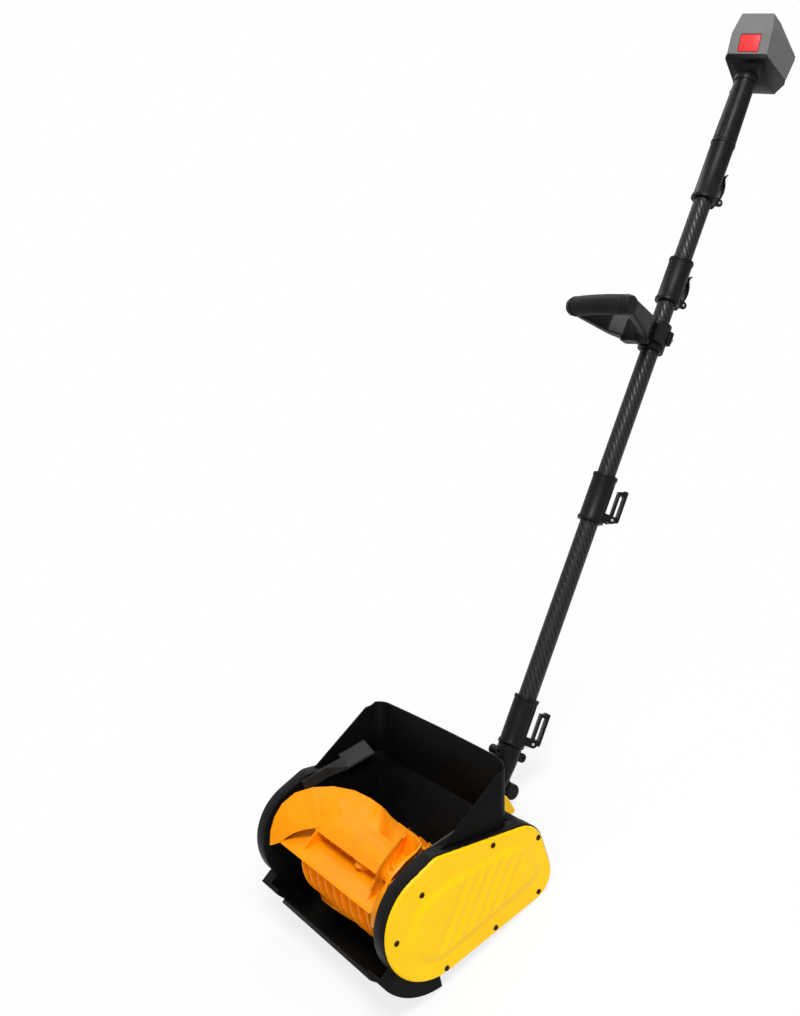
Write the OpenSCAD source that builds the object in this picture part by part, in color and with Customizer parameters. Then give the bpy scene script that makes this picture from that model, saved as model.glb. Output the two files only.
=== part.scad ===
// Cordless snow blower on a long leaning pole: scoop head with a belt-driven
// auger, tilting neck, three clamped tubes, D-handle, grip and battery.
// Millimetres. X runs along the auger, +Y is toward the person who holds it,
// +Z is up, and the ground is z = 0 under the skid pad of the scraper.

/* [Head] */
// Clear width of the auger chamber
chamber_w = 280; // [240:2:320]
// Depth of each side box, without its cover
box_t = 21; // [18:1:28]
// Inner radius of the rounded trough floor
trough_r = 82; // [80:1:86]
// Wall thickness of the mouldings
wall = 3; // [2.4:0.2:3.6]
// Height of the hood above the side boxes
hood_h = 76; // [58:1:92]
// Width of the bolted-on scraper strip
strip_w = 226; // [180:2:236]

/* [Auger] */
// Radius of the auger's blades
auger_r = 76; // [68:0.5:77]
// Diameter of the auger's shaft
auger_shaft_d = 12; // [10:0.5:14]
// Radius of the auger's hub
hub_r = 24; // [20:1:30]

/* [Pole] */
// Lean of the pole away from the head's upright
pole_lean = 44.7; // [40:0.1:48]
// Outer diameter of the three tubes
tube_d = 28; // [27:0.5:29]
// Wall of the tubes
tube_wall = 1.5; // [1.2:0.1:2]
// Visible length of the lower tube
lower_len = 279; // [240:1:320]
// Visible length of the middle tube
middle_len = 286; // [270:1:340]
// Visible length of the upper tube
upper_len = 103; // [80:1:160]
// Outer diameter of the coupling sleeves
sleeve_d = 36.5; // [35:0.5:38]

/* [Handle] */
// Length of the main grip
grip_len = 112; // [105:1:140]
// Swivel of the handle about the pole
handle_turn = 22; // [0:1:30]
// Tilt of the battery seat against the pole
seat_tilt = 16; // [12:1:20]
// Battery width
batt_w = 63; // [60:1:70]
// Battery length
batt_l = 122; // [110:1:130]
// Battery height
batt_h = 65; // [58:1:72]

/* [Hidden] */
$fn = 64;
hull_fn = 32;

// Clearances
gap = 0.3;
run = 0.05;

// Head section, in the head's own frame: u to the rear, v up.
axis_u = 82;
axis_v = 82;
motor_u = 231;
motor_v = 60;
floor_u = 66;
floor_v = 74;
nose = [75, 78, 77];
crown = [101, 139, 21];
tail = [221, 76, 41];
heel = [226, 36, 37];
ground_pitch = 5.6;
hood_lean = 18.4;
hood_u = 210;
hood_v = 126;
hood_back = 22;
hood_arch = 3;
lip_start = 204;
lip_end = 264;
lip_r = trough_r + wall + 3;
strip_r = lip_r + 5.5;
lip_half = strip_w / 2 + 2;
lip_top = 213;
flare_end = 236;
half_w = chamber_w / 2;
box_x = half_w + box_t;
cover_t = 4;
rim_h = 4;
ground_lift = heel[2] + heel[0] * sin(ground_pitch) - heel[1] * cos(ground_pitch);
pad_u = floor_u + strip_r * cos(lip_end) - 3;
pad_v = floor_v + strip_r * sin(lip_end);
ground_y = pad_u * cos(ground_pitch) + pad_v * sin(ground_pitch);

// Belt drive
driven_r = 36;
drive_r = 13;
belt_w = 7;
belt_t = 2.4;

motor_shaft_d = 6;
motor_r = 26;
motor_len = 84;
motor_x = half_w - 12 - motor_len;
bearing_r = 14;
bearing_w = 5;
belt_x = half_w + wall + bearing_w + 2.2;

// Rotor
rotor_half = half_w - 4;
blade_t = 3.4;

// Pole, measured along its own axis from the bottom of the lowest sleeve
pole_u = 359.4;
pole_v = 99.8;
pivot_s = -88;
sleeve_len = 75;
grip_sleeve_len = 100;
lower_s = sleeve_len;
middle_s = lower_s + lower_len;
middle_top = middle_s + sleeve_len;
upper_s = middle_top + middle_len;
upper_top = upper_s + sleeve_len - 3;
grip_sleeve_s = upper_top + upper_len;
grip_s = grip_sleeve_s + grip_sleeve_len;
seat_s = grip_s + grip_len + 4;
tube_bore = tube_d + 2 * run;
clamp_s = upper_s - 58;
clamp_len = 46;
grip_d = 33;
grip_d2 = 37;

// Tilt joint
cheek_x = 17;
cheek_t = 5;
barrel_r = 13;
tilt_bolt_d = 8;

// D-handle
bar_f = 130;
bar_s = -8;
bow_r = 380;
bow_a = 7.4;
bar_r = 8;
foam_r = 15;
frame_t = 20;

// Levers: distance of pin from the pole's axis, and lever length
low_pin = [29, 13];
high_pin = [22.8, 6];
low_turn = 28;
high_turn = 12;
lever_pin_r = 2;
lever_len = 46;
lever_x = 7;

// Places something in the head's frame
module in_head() {
    translate([0, -ground_y, ground_lift]) rotate([-ground_pitch, 0, 0]) children();
}

// Places something along the pole, s mm up from the lowest sleeve
module on_pole(s = 0) {
    in_head() translate([0, pole_u, pole_v]) rotate([-pole_lean, 0, 0]) translate([0, 0, s]) children();
}

// Places something on the handle, which can swivel about the pole
module on_handle(s = 0) {
    on_pole(s) rotate([0, 0, handle_turn]) children();
}

// Places something on the tilted battery seat
module on_seat() {
    on_handle(seat_s) rotate([seat_tilt, 0, 0]) children();
}

// Extrudes a u-v section across the head from x0 to x1
module across(x0, x1) {
    translate([x0, 0, 0]) rotate([90, 0, 90]) linear_extrude(x1 - x0) children();
}

// A cylinder along X from x0 to x1 at (u, v)
module bar_x(x0, x1, u, v, r) {
    translate([x0, u, v]) rotate([0, 90, 0]) cylinder(h = x1 - x0, r = r);
}

// Repeats on both sides
module both_sides() {
    children();
    mirror([1, 0, 0]) children();
}

// Points of an arc about the centre of the trough floor
function arc(r, a0, a1, n = 24) = [
    for (i = [0:n]) let (a = a0 + (a1 - a0) * i / n) [floor_u + r * cos(a), floor_v + r * sin(a)]
];

// Outline of the side boxes and covers, grown by d
module outline(d = 0) {
    hull() {
        translate([nose[0], nose[1]]) circle(r = nose[2] + d);
        translate([crown[0], crown[1]]) circle(r = crown[2] + d, $fn = hull_fn);
        translate([tail[0], tail[1]]) circle(r = tail[2] + d, $fn = hull_fn);
        translate([heel[0], heel[1]]) circle(r = heel[2] + d, $fn = hull_fn);
    }
}

// Hood direction and a point k mm up the hood wall, m mm behind its front face
hood_dir = [sin(hood_lean), cos(hood_lean)];
hood_nrm = [cos(hood_lean), -sin(hood_lean)];
function hood_at(k, m = 0) = [hood_u, hood_v] + k * hood_dir + m * hood_nrm;

// Section of the trough wall: round floor, sloping back and the foot of the hood
floor_a = 300;
foot_k = -8;
knee = [160, 25];
module trough_section() {
    inner = arc(trough_r, flare_end - 1, floor_a);
    outer = arc(trough_r + wall, floor_a, flare_end - 1);
    polygon(concat(
        inner, [knee, hood_at(foot_k, hood_back), hood_at(foot_k, hood_back + wall)],
        [knee + [2.2, -2.4]], outer
    ));
}

// Section of the thick lip, whose inner face flares out to the edge
module lip_section() {
    polygon(concat(
        [for (i = [0:12]) let (t = i / 12, a = lip_top + (flare_end - lip_top) * t)
            [floor_u, floor_v] + (trough_r + (lip_r - 0.5 - trough_r) * pow(1 - t, 1.7)) * [cos(a), sin(a)]],
        arc(trough_r + 1, flare_end + 2, lip_end), arc(lip_r, lip_end, lip_top)
    ));
}

// A ring sector about the centre of the trough floor
module sector(r0, r1, a0, a1) {
    polygon(concat(arc(r0, a0, a1), arc(r1, a1, a0)));
}

// ---- Head ----

module auger_trough() color("#141414") in_head() difference() {
    trough_body();
    for (x = strip_screws) strip_screw_place(x) translate([0, 0, trough_r - 4]) cylinder(h = 40, r = 1.9 + run);
}
module trough_body() {
    // rounded lip under the nose, with ends that stand higher beside and under the side boxes
    across(-half_w, half_w) {
        trough_section();
        lip_section();
    }
    both_sides() across(lip_half, half_w) sector(trough_r, lip_r, lip_start, flare_end + 2);
    both_sides() across(half_w - 0.01, box_x - 1) difference() {
        polygon(concat([[floor_u, floor_v]], arc(lip_r, lip_start, lip_end)));
        outline(gap);
    }
}

// Flat plan of the hood: back wall with round corners running into the wings
wing_x = half_w + 14;
left_corner = [42, 28];
right_corner = [20, 20];
module hood_plan(d) {
    w = wing_x - d;
    back = hood_back + wall - d;
    rr = right_corner - [d, d];
    rl = left_corner - [d, d];
    polygon(concat(
        [[-w, -130]],
        [for (a = [180:-7.5:90]) [-w + rr[0] + rr[0] * cos(a), back - rr[1] + rr[1] * sin(a)]],
        [for (a = [90:-7.5:0]) [w - rl[0] + rl[0] * cos(a), back - rl[1] + rl[1] * sin(a)]],
        [[w, -130]]
    ));
}

module scoop_hood() color("#101010") in_head() {
    difference() {
        translate([0, hood_u, hood_v]) rotate([-hood_lean, 0, 0]) translate([0, 0, foot_k])
            linear_extrude(hood_h + hood_arch - foot_k, convexity = 4) difference() {
                hood_plan(0);
                hood_plan(wall);
                translate([-200, -300]) square([400, 170.1]);
            }
        // front edges of the wings
        across(-200, 200) polygon([
            hood_at(hood_h + 20, 18), hood_at(hood_h, 12), hood_at(hood_h - 4, 6), hood_at(hood_h - 5, -4),
            [60, 135], [-60, 135], [-60, 300], hood_at(hood_h + 80, 18)
        ]);
        // arched upper edge
        translate([0, hood_u, hood_v]) rotate([90 - hood_lean, 0, 0]) translate([0, 0, -150])
            linear_extrude(300) polygon(concat(
                [for (i = [-10:10]) [i * 16, hood_h + hood_arch * cos(i * 8)]], [[160, hood_h + 60], [-160, hood_h + 60]]
            ));
        // the side boxes stand outside the chamber
        both_sides() across(half_w - 0.01, 200) translate([0, -300]) hull() {
            translate([0, 300]) outline(gap);
            translate([0, 200]) outline(gap);
        }
    }
}

// Sloping ledge on each wing that turns the snow inward, tapering to the front
module ledge_section(u, v, w, out) {
    translate([half_w - w, u, v - 17]) cube([w / 2, 0.6, 3]);
    translate([half_w + out - 2.6, u, v - 4]) cube([2.6, 0.6, 4]);
}
module snow_ledges() color("#262626") in_head() both_sides() {
    hull() {
        ledge_section(206, 150, 11, 10.9);
        ledge_section(160, 153, 11, 10.9);
    }
    hull() {
        ledge_section(160, 153, 11, 0);
        ledge_section(128, 155, 2.6, 0);
    }
    hull() {
        ledge_section(128, 155, 2.6, 0);
        ledge_section(88, 157, 2.6, 0);
    }
}

// Black tub that carries the cover, with bores for the shafts
module side_box() {
    difference() {
        across(half_w, box_x) outline();
        across(half_w + wall, box_x + 1) outline(-wall);
        bar_x(half_w - 5, half_w + 8, axis_u, axis_v, bearing_r - 3);
        bar_x(half_w - 5, half_w + 8, motor_u, motor_v, motor_shaft_d / 2 + 4);
        for (p = screw_points) bar_x(half_w + wall, box_x + 1, p[0], p[1], 5);
    }
    difference() {
        bar_x(half_w + wall - 1, half_w + wall + bearing_w, axis_u, axis_v, bearing_r + 3);
        bar_x(half_w + wall, box_x, axis_u, axis_v, bearing_r);
        bar_x(half_w - 5, box_x, axis_u, axis_v, bearing_r - 3);
    }
    difference() {
        for (p = screw_points) bar_x(half_w + wall - 1, box_x, p[0], p[1], 4.6);
        for (p = screw_points) bar_x(half_w + wall + 2, box_x + 1, p[0], p[1], 1.6);
        across(half_w - 2, box_x + 2) difference() {
            translate([-100, -100]) square(500);
            outline(-0.5);
        }
    }
}
module left_side_box() color("#181818") in_head() side_box();
module right_side_box() color("#181818") in_head() mirror([1, 0, 0]) side_box();

// Screws round the rim of a cover
screw_points = [[69, 126], [17, 91], [69, 8.5], [153, 8], [231, 8.5], [254, 82], [185, 119]];

// Yellow cover: rim, groove and a raised panel with slanted ribs
rib_lean = 46.5;
rib_pitch = 23;
module panel(d) {
    hull() {
        translate([77, 72]) circle(r = 45 + d);
        translate([108, 108]) circle(r = 13 + d, $fn = hull_fn);
        translate([213, 80]) circle(r = 18 + d, $fn = hull_fn);
        translate([220, 50]) circle(r = 21 + d, $fn = hull_fn);
    }
}
module cover() {
    top_x = box_x + cover_t + rim_h;
    difference() {
        union() {
            across(box_x, box_x + 1.6) outline(-1.2);
            across(box_x + 1.5, box_x + cover_t) outline(-3);
            // raised panel with a wide slope round it
            hull() {
                across(box_x + cover_t - 0.6, box_x + cover_t - 0.01) panel(1);
                across(top_x - 0.6, top_x) panel(-9);
            }
        }
        // hollow back
        across(box_x - 1, top_x - 3.8) panel(-13);
        // broad slanted flutes
        intersection() {
            across(box_x + 2, top_x + 5) panel(-4);
            for (i = [0:5]) translate([top_x + 12.6, 101 + i * rib_pitch, 74])
                rotate([-rib_lean, 0, 0]) cylinder(h = 260, r = 14, center = true);
        }
        for (p = screw_points) {
            bar_x(box_x - 1, box_x + 9, p[0], p[1], 2.1);
            bar_x(box_x + 1.6, box_x + 9, p[0], p[1], 4.1);
        }
    }
}
module left_cover() color("#ffd614") in_head() cover();
module right_cover() color("#ffd614") in_head() mirror([1, 0, 0]) cover();

// Cross-head screws of both covers
module cover_screws() color("#3a3a3c") in_head() both_sides() for (p = screw_points) difference() {
    union() {
        bar_x(box_x + 1.6, box_x + 3.4, p[0], p[1], 3.8);
        bar_x(box_x - 12, box_x + 1.7, p[0], p[1], 1.6);
    }
    for (a = [0, 90]) translate([box_x + 3, p[0], p[1]]) rotate([a, 0, 0]) cube([1.2, 4.2, 0.9], center = true);
}

// Steel scraper strip under the lip, cut flat where it slides on the ground
module scraper_strip() color("#202020") difference() {
    in_head() difference() {
        across(-strip_w / 2, strip_w / 2) sector(lip_r + run, strip_r, lip_top, lip_end);
        for (x = strip_screws) strip_screw_place(x) translate([0, 0, lip_r - 8]) cylinder(h = 30, r = 2.1);
        for (x = strip_screws) strip_screw_place(x) translate([0, 0, strip_r - 2.4]) cylinder(h = 9, r = 4.2);
    }
    translate([-200, -200, -40]) cube([400, 400, 40]);
}
strip_screws = [-90, -30, 30, 90];
strip_screw_a = 252;
module strip_screw_place(x) {
    translate([x, floor_u, floor_v]) rotate([strip_screw_a - 90, 0, 0]) children();
}

module scraper_screws() color("#55565a") in_head() for (x = strip_screws) strip_screw_place(x) difference() {
    union() {
        translate([0, 0, strip_r - 2.4]) cylinder(h = 1.9, r = 3.9);
        translate([0, 0, lip_r - 6]) cylinder(h = strip_r - 2.3 - lip_r + 6, r = 1.9);
    }
    translate([0, 0, strip_r - 1.2]) cube([4.4, 0.9, 1.6], center = true);
}

// Rear housing between the boxes, behind the trough and hood
module rear_section(d) {
    intersection() {
        outline(-1 - d);
        polygon([
            hood_at(foot_k, hood_back + wall + gap + d), hood_at(20, hood_back + wall + gap + d),
            [400, 160], [400, -30], [knee[0] + 3, -30], [knee[0] + 5 + d, knee[1] - 3]
        ]);
    }
}
module motor_housing() color("#161616") in_head() difference() {
    across(-half_w + gap, half_w - gap) rear_section(0);
    across(-half_w + 8, half_w - 8) rear_section(wall);
    bar_x(-half_w - 5, half_w + 5, motor_u, motor_v, motor_shaft_d / 2 + 4);
    for (p = yoke_points) translate([p[0], yoke_back - 12, p[1]]) rotate([-90, 0, 0]) cylinder(h = 30, r = 2.5 + run);
}

module motor_can() color("#8d8f94") in_head() difference() {
    union() {
        bar_x(motor_x, motor_x + motor_len, motor_u, motor_v, motor_r);
        bar_x(motor_x + motor_len - 1, half_w - 8, motor_u, motor_v, 12);
        bar_x(motor_x - 8, motor_x + 1, motor_u, motor_v, 10);
    }
    bar_x(motor_x - 4, half_w, motor_u, motor_v, motor_shaft_d / 2 + run);
    for (i = [0:7]) translate([motor_x + 10, motor_u, motor_v]) rotate([i * 45, 0, 0])
        translate([0, motor_r - 3, -3]) cube([26, 6, 6]);
}

module motor_shaft() color("#c9cbd0") in_head()
    bar_x(motor_x - 3, belt_x + belt_w + 3, motor_u, motor_v, motor_shaft_d / 2);

// A flanged belt pulley on a shaft of diameter d
module pulley(u, v, r, d) {
    difference() {
        union() {
            bar_x(belt_x - 0.4, belt_x + belt_w + 0.4, u, v, r);
            bar_x(belt_x - 1.6, belt_x - 0.4, u, v, r + 2.6);
            bar_x(belt_x + belt_w + 0.4, belt_x + belt_w + 1.6, u, v, r + 2.6);
        }
        bar_x(belt_x - 5, belt_x + belt_w + 5, u, v, d / 2);
        if (r > 25) for (i = [0:5]) rotate_at(u, v, i * 60)
            bar_x(belt_x - 5, belt_x + belt_w + 5, u + r * 0.62, v, r * 0.17);
    }
}
module rotate_at(u, v, a) {
    translate([0, u, v]) rotate([a, 0, 0]) translate([0, -u, -v]) children();
}
module drive_pulley() color("#b9bbc0") in_head() pulley(motor_u, motor_v, drive_r, motor_shaft_d);
module driven_pulley() color("#b9bbc0") in_head() pulley(axis_u, axis_v, driven_r, auger_shaft_d);

module belt_loop(d) {
    hull() {
        translate([axis_u, axis_v]) circle(r = driven_r + d);
        translate([motor_u, motor_v]) circle(r = drive_r + d);
    }
}
module drive_belt() color("#1b1b1b") in_head() across(belt_x + 0.3, belt_x + belt_w - 0.3) difference() {
    belt_loop(gap + belt_t);
    belt_loop(gap);
}

// Idler that presses on the back of the belt's lower run
idler_r = 9;
belt_d = norm([motor_u - axis_u, motor_v - axis_v]);
belt_a = atan2(motor_v - axis_v, motor_u - axis_u) - acos((driven_r - drive_r) / belt_d);
idler_off = driven_r + gap + belt_t + gap + idler_r;
idler_u = axis_u + idler_off * cos(belt_a) - 70 * sin(belt_a);
idler_v = axis_v + idler_off * sin(belt_a) + 70 * cos(belt_a);
module idler_roller() color("#d0d2d6") in_head() difference() {
    bar_x(belt_x, belt_x + belt_w, idler_u, idler_v, idler_r);
    bar_x(belt_x - 2, belt_x + belt_w + 2, idler_u, idler_v, 2.5 + run);
}
module idler_pin() color("#77797e") in_head() {
    bar_x(half_w + wall, belt_x - 0.6, idler_u, idler_v, 5);
    bar_x(half_w + wall, belt_x + belt_w + 1, idler_u, idler_v, 2.5);
    bar_x(belt_x + belt_w + 0.5, belt_x + belt_w + 2, idler_u, idler_v, 4);
}

// ---- Auger ----

module auger_shaft() color("#c9cbd0") in_head()
    bar_x(-half_w - wall - bearing_w - 1, belt_x + belt_w + 3, axis_u, axis_v, auger_shaft_d / 2);

// A ruled sheet between an outer and an inner line, each point as [x share, angle, radius]
end_x = rotor_half - 3;
function spot(q) = [q[0] * end_x, q[2] * cos(q[1]), q[2] * sin(q[1])];
module sheet(st, t) {
    n = len(st);
    pts = [for (i = [0:n - 1]) let (
        a = st[max(0, i - 1)], b = st[min(n - 1, i + 1)], o = spot(st[i][0]), q = spot(st[i][1]),
        w = cross(spot(b[0]) + spot(b[1]) - spot(a[0]) - spot(a[1]), o - q), h = w / norm(w) * t / 2
    ) each [q + h, o + h, o - h, q - h]];
    sides = [for (i = [0:n - 2]) for (k = [0:3]) let (m = (k + 1) % 4) each [
        [4 * i + k, 4 * i + m, 4 * i + 4 + m], [4 * i + k, 4 * i + 4 + m, 4 * i + 4 + k]
    ]];
    e = 4 * n - 4;
    polyhedron(pts, concat(sides, [[2, 1, 0], [3, 2, 0], [e, e + 1, e + 2], [e, e + 2, e + 3]]), convexity = 8);
}
function polar(r, a) = r * [cos(a), sin(a)];

// Scoop blade: its outer edge sweeps round from end to end, its inner line runs over the drum
blade = [
    [[-1, 166, 75], [-0.86, 158, 69]], [[-1, 150, 75], [-0.81, 150, 64]], [[-1, 134, 75], [-0.75, 142, 59]],
    [[-0.99, 118, 75], [-0.69, 134, 54]], [[-0.94, 101, 75], [-0.63, 127, 50]], [[-0.83, 84, 75], [-0.56, 119, 46]],
    [[-0.69, 66, 75], [-0.41, 98, 45]], [[-0.55, 48, 75], [-0.25, 77, 45]], [[-0.38, 38, 75], [-0.1, 57, 45]],
    [[-0.18, 38, 75], [0.05, 46, 45]], [[0.02, 46, 75], [0.18, 47, 45]], [[0.18, 53, 75], [0.32, 52, 45]],
    [[0.37, 56, 75], [0.48, 57, 45]], [[0.55, 58, 75], [0.62, 61, 45]], [[0.74, 61, 75], [0.75, 63, 45]],
    [[0.88, 66, 75], [0.86, 67, 45]], [[0.96, 78, 75], [0.88, 84, 48]], [[0.99, 94, 75], [0.87, 102, 52]],
    [[1, 112, 75], [0.86, 120, 57]], [[1, 130, 75], [0.86, 137, 62]], [[1, 148, 75], [0.88, 154, 68]],
    [[1, 164, 75], [0.91, 168, 72]]
];
// Divider that turns the snow inward beside the driven end
divider = [
    [[0.45, 46, 73], [0.5, 56, 40]], [[0.54, 56, 72], [0.56, 70, 40]], [[0.63, 70, 71], [0.61, 84, 40]],
    [[0.7, 84, 70], [0.65, 96, 40]], [[0.74, 98, 69], [0.67, 108, 40]], [[0.75, 112, 67], [0.67, 120, 42]],
    [[0.74, 126, 64], [0.66, 130, 46]], [[0.72, 140, 60], [0.66, 140, 46]]
];

module rotor_blade() {
    sheet(blade, blade_t);
    sheet(divider, 3);
    // upper drum with a free front edge
    across(-0.565 * end_x, 0.86 * end_x) polygon(concat(
        [for (a = [121.5:-8:49]) polar(46.3, a)], [for (a = [49:8:121.5]) polar(42.6, a)]
    ));
    // shelf under it, reaching further out
    across(-0.85 * end_x, 0.85 * end_x) polygon([polar(70, 158), polar(67.5, 155.5), polar(hub_r - 4, 104), polar(hub_r - 8, 128)]);
    // webs between drum and shelf
    for (x = [-0.54, 0.66]) across(x * end_x, x * end_x + 3) polygon([polar(3, 0), polar(44.3, 70), polar(45.6, 119.5), polar(64, 157.2)]);
    for (i = [-4:5]) across(i * 15 - 1.2, i * 15 + 1.2) polygon([polar(3, 0), polar(43.6, 51), polar(44.2, 84), polar(44.4, 115), polar(34, 128)]);
    translate([34, 0, 0]) rotate([122 - 90, 0, 0]) cylinder(h = 41, r = 8);
    // ribbed drum in front of the next blade
    across(-0.44 * end_x, 0.84 * end_x) polygon(concat(
        [for (a = [154.5:9:211]) polar(60, a)], [for (a = [208.5:-9:154.5]) polar(56.5, a)]
    ));
    for (i = [-3:5]) across(i * 20 + 3, i * 20 + 5.6) polygon(concat(
        [polar(20, 180)], [for (a = [157.3:8.9:211]) polar(auger_r - 8, a)]
    ));
}
module auger_rotor() color("#ff9d14") in_head() translate([0, axis_u, axis_v]) difference() {
    union() {
        rotate([0, 90, 0]) cylinder(h = 2 * rotor_half, r = hub_r, center = true);
        rotor_blade();
        rotate([180, 0, 0]) rotor_blade();
    }
    rotate([0, 90, 0]) cylinder(h = 400, r = auger_shaft_d / 2, center = true);
}

// Ball bearings pressed into both side boxes
module auger_bearings() color("#d6d8dc") in_head() both_sides() difference() {
    bar_x(half_w + wall, half_w + wall + bearing_w, axis_u, axis_v, bearing_r);
    bar_x(half_w, half_w + 20, axis_u, axis_v, auger_shaft_d / 2 + run);
    for (x = [half_w + wall - 1, half_w + wall + bearing_w - 0.8]) difference() {
        bar_x(x, x + 1.8, axis_u, axis_v, bearing_r - 3);
        bar_x(x - 1, x + 3, axis_u, axis_v, auger_shaft_d / 2 + 3);
    }
}

// Motor controller in the other side box
module control_board() color("#1f5f38") in_head() mirror([1, 0, 0]) {
    translate([half_w + wall, 140, 60]) cube([3, 80, 44]);
    translate([half_w + wall + 2.9, 150, 70]) cube([9, 26, 22]);
    for (k = [0, 1]) bar_x(half_w + wall + 2.9, half_w + wall + 13, 192 + 16 * k, 72, 6);
}

// ---- Tilt joint ----

pivot_u = pole_u + pivot_s * sin(pole_lean);
pivot_v = pole_v + pivot_s * cos(pole_lean);
yoke_back = heel[0] + heel[2] - 1;
module cheek_section() {
    hull() {
        translate([pivot_u, pivot_v]) circle(r = 19);
        translate([yoke_back + 1, 26]) square([2, 62]);
        translate([pivot_u + 20, pivot_v - 20]) circle(r = 4, $fn = hull_fn);
    }
}
blind_x = cheek_x + cheek_t - 1.4;
module tilt_yoke() color("#ffd614") in_head() difference() {
    union() {
        both_sides() across(cheek_x, cheek_x + cheek_t) cheek_section();
        translate([-44, yoke_back + gap, 24]) cube([88, 7, 66]);
        bar_x(-cheek_x - cheek_t - 2.5, -cheek_x - cheek_t + 1, pivot_u, pivot_v, 12);
    }
    bar_x(-60, blind_x, pivot_u, pivot_v, tilt_bolt_d / 2);
    for (p = yoke_points) translate([p[0], yoke_back, p[1]]) rotate([-90, 0, 0]) cylinder(h = 30, r = 2.6);
}
yoke_points = [[-36, 33], [36, 33], [-36, 81], [36, 81]];
module yoke_screws() color("#55565a") in_head() for (p = yoke_points)
    translate([p[0], yoke_back, p[1]]) rotate([-90, 0, 0]) difference() {
        union() {
            translate([0, 0, -7]) cylinder(h = 15, r = 2.5);
            translate([0, 0, 7 + gap]) cylinder(h = 3, r = 5);
        }
        translate([0, 0, 8.6]) cylinder(h = 4, r = 2.2, $fn = 6);
    }

// Pivot bolt, screwed into the far cheek
bolt_out = cheek_x + cheek_t + 2.5;
module tilt_bolt() color("#9a9ca1") in_head() difference() {
    union() {
        bar_x(-bolt_out - 1, blind_x, pivot_u, pivot_v, tilt_bolt_d / 2);
        bar_x(-bolt_out - 4.5, -bolt_out, pivot_u, pivot_v, 7);
    }
    translate([-bolt_out - 6, pivot_u, pivot_v]) rotate([0, 90, 0]) cylinder(h = 4, r = 3, $fn = 6);
}

// Black neck: barrel on the bolt, round arm and a spigot in the lowest sleeve
neck_r = 15.5;
module neck_knuckle() color("#121212") on_pole() difference() {
    union() {
        translate([-cheek_x + gap, 0, pivot_s]) rotate([0, 90, 0]) cylinder(h = 2 * (cheek_x - gap), r = barrel_r);
        translate([0, 0, pivot_s + 20]) cylinder(h = -pivot_s - 44, r1 = neck_r - 1.5, r2 = neck_r + 2.5);
        translate([0, 0, -24.1]) cylinder(h = 24.1, r = neck_r + 2.5);
        translate([-13, -11, pivot_s]) cube([26, 22, 24]);
        translate([0, 0, -1]) cylinder(h = 31, r = tube_d / 2 - 1.6);
        // collar ears under the sleeve
        translate([-7, -26, -19]) cube([14, 52, 13]);
        for (y = [-26, 26]) translate([-8, y, -12.5]) rotate([0, 90, 0]) cylinder(h = 16, r = 7);
    }
    translate([-30, 0, pivot_s]) rotate([0, 90, 0]) cylinder(h = 60, r = tilt_bolt_d / 2 + run);
    for (y = [-26, 26]) translate([-10, y, -12.5]) rotate([0, 90, 0]) cylinder(h = 20, r = 2.4);
    // slot for the pedal and bore for its pin
    translate([-6, 4, pawl_s - 20]) cube([12, 40, 27]);
    translate([-11, pawl_d, pawl_s]) rotate([0, 90, 0]) cylinder(h = 22, r = 1.5);
}

// Sprung pedal that locks the tilt
pawl_d = 9.5;
pawl_s = pivot_s + 42;
module tilt_pawl() color("#0d0d0d") on_pole() difference() {
    union() {
        hull() {
            translate([-5.6, pawl_d, pawl_s]) rotate([0, 90, 0]) cylinder(h = 11.2, r = 4.6, $fn = hull_fn);
            translate([-5.6, 26, pawl_s - 17]) rotate([0, 90, 0]) cylinder(h = 11.2, r = 4.6, $fn = hull_fn);
        }
        translate([-10, 28, pawl_s - 18]) rotate([0, 90, 0]) cylinder(h = 20, r = 12);
    }
    translate([-20, pawl_d, pawl_s]) rotate([0, 90, 0]) cylinder(h = 40, r = 1.5 + run);
}
module pawl_pin() color("#9a9ca1") on_pole() translate([-11, pawl_d, pawl_s]) rotate([0, 90, 0])
    cylinder(h = 22, r = 1.5);
module pawl_spring() color("#b9bbc0") on_pole() translate([0, 4, pawl_s - 14]) rotate([-90, 0, 0])
    difference() {
        cylinder(h = 8.5, r = 3);
        translate([0, 0, -1]) cylinder(h = 20, r = 2);
    }

// ---- Pole ----

module tube(s0, s1) {
    on_pole(s0) difference() {
        cylinder(h = s1 - s0, r = tube_d / 2);
        translate([0, 0, -1]) cylinder(h = s1 - s0 + 2, r = tube_d / 2 - tube_wall);
    }
}
module lower_tube() color("#1c1c1e") tube(32, middle_s + 36);
module middle_tube() color("#1c1c1e") tube(middle_s + 38, upper_s + 34);
module upper_tube() color("#1c1c1e") tube(upper_s + 36, grip_sleeve_s + 46);

// Places something on a clamp whose lever is turned about the pole
module on_clamp(s, turn) {
    on_pole(s) rotate([0, 0, -turn]) children();
}

// Sleeve with lever ears on its rear side; the lever closes up along it
module sleeve(s, len, turn, pin) {
    on_clamp(s, turn) difference() {
        union() {
            cylinder(h = len, r = sleeve_d / 2);
            both_sides() translate([lever_x + gap, 10, pin[1] - 6]) cube([4, pin[0] - 10, 12]);
            both_sides() translate([lever_x + gap, pin[0], pin[1]]) rotate([0, 90, 0]) cylinder(h = 4, r = 6);
            translate([0, 0, len - 5]) cylinder(h = 5, r = sleeve_d / 2 + 1);
            cylinder(h = 6, r = sleeve_d / 2 + 1.6);
        }
        translate([0, 0, -1]) cylinder(h = len + 2, r = tube_bore / 2);
        translate([-20, pin[0], pin[1]]) rotate([0, 90, 0]) cylinder(h = 40, r = lever_pin_r);
        // room for the lever's hub, and the clamping slit
        translate([-lever_x - gap, sleeve_d / 2, -1]) cube([2 * (lever_x + gap), 10, 24]);
        translate([-0.8, 0, 20]) cube([1.6, 30, len]);
    }
}
module lower_sleeve() color("#121212") sleeve(0, sleeve_len, low_turn, low_pin);
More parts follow.
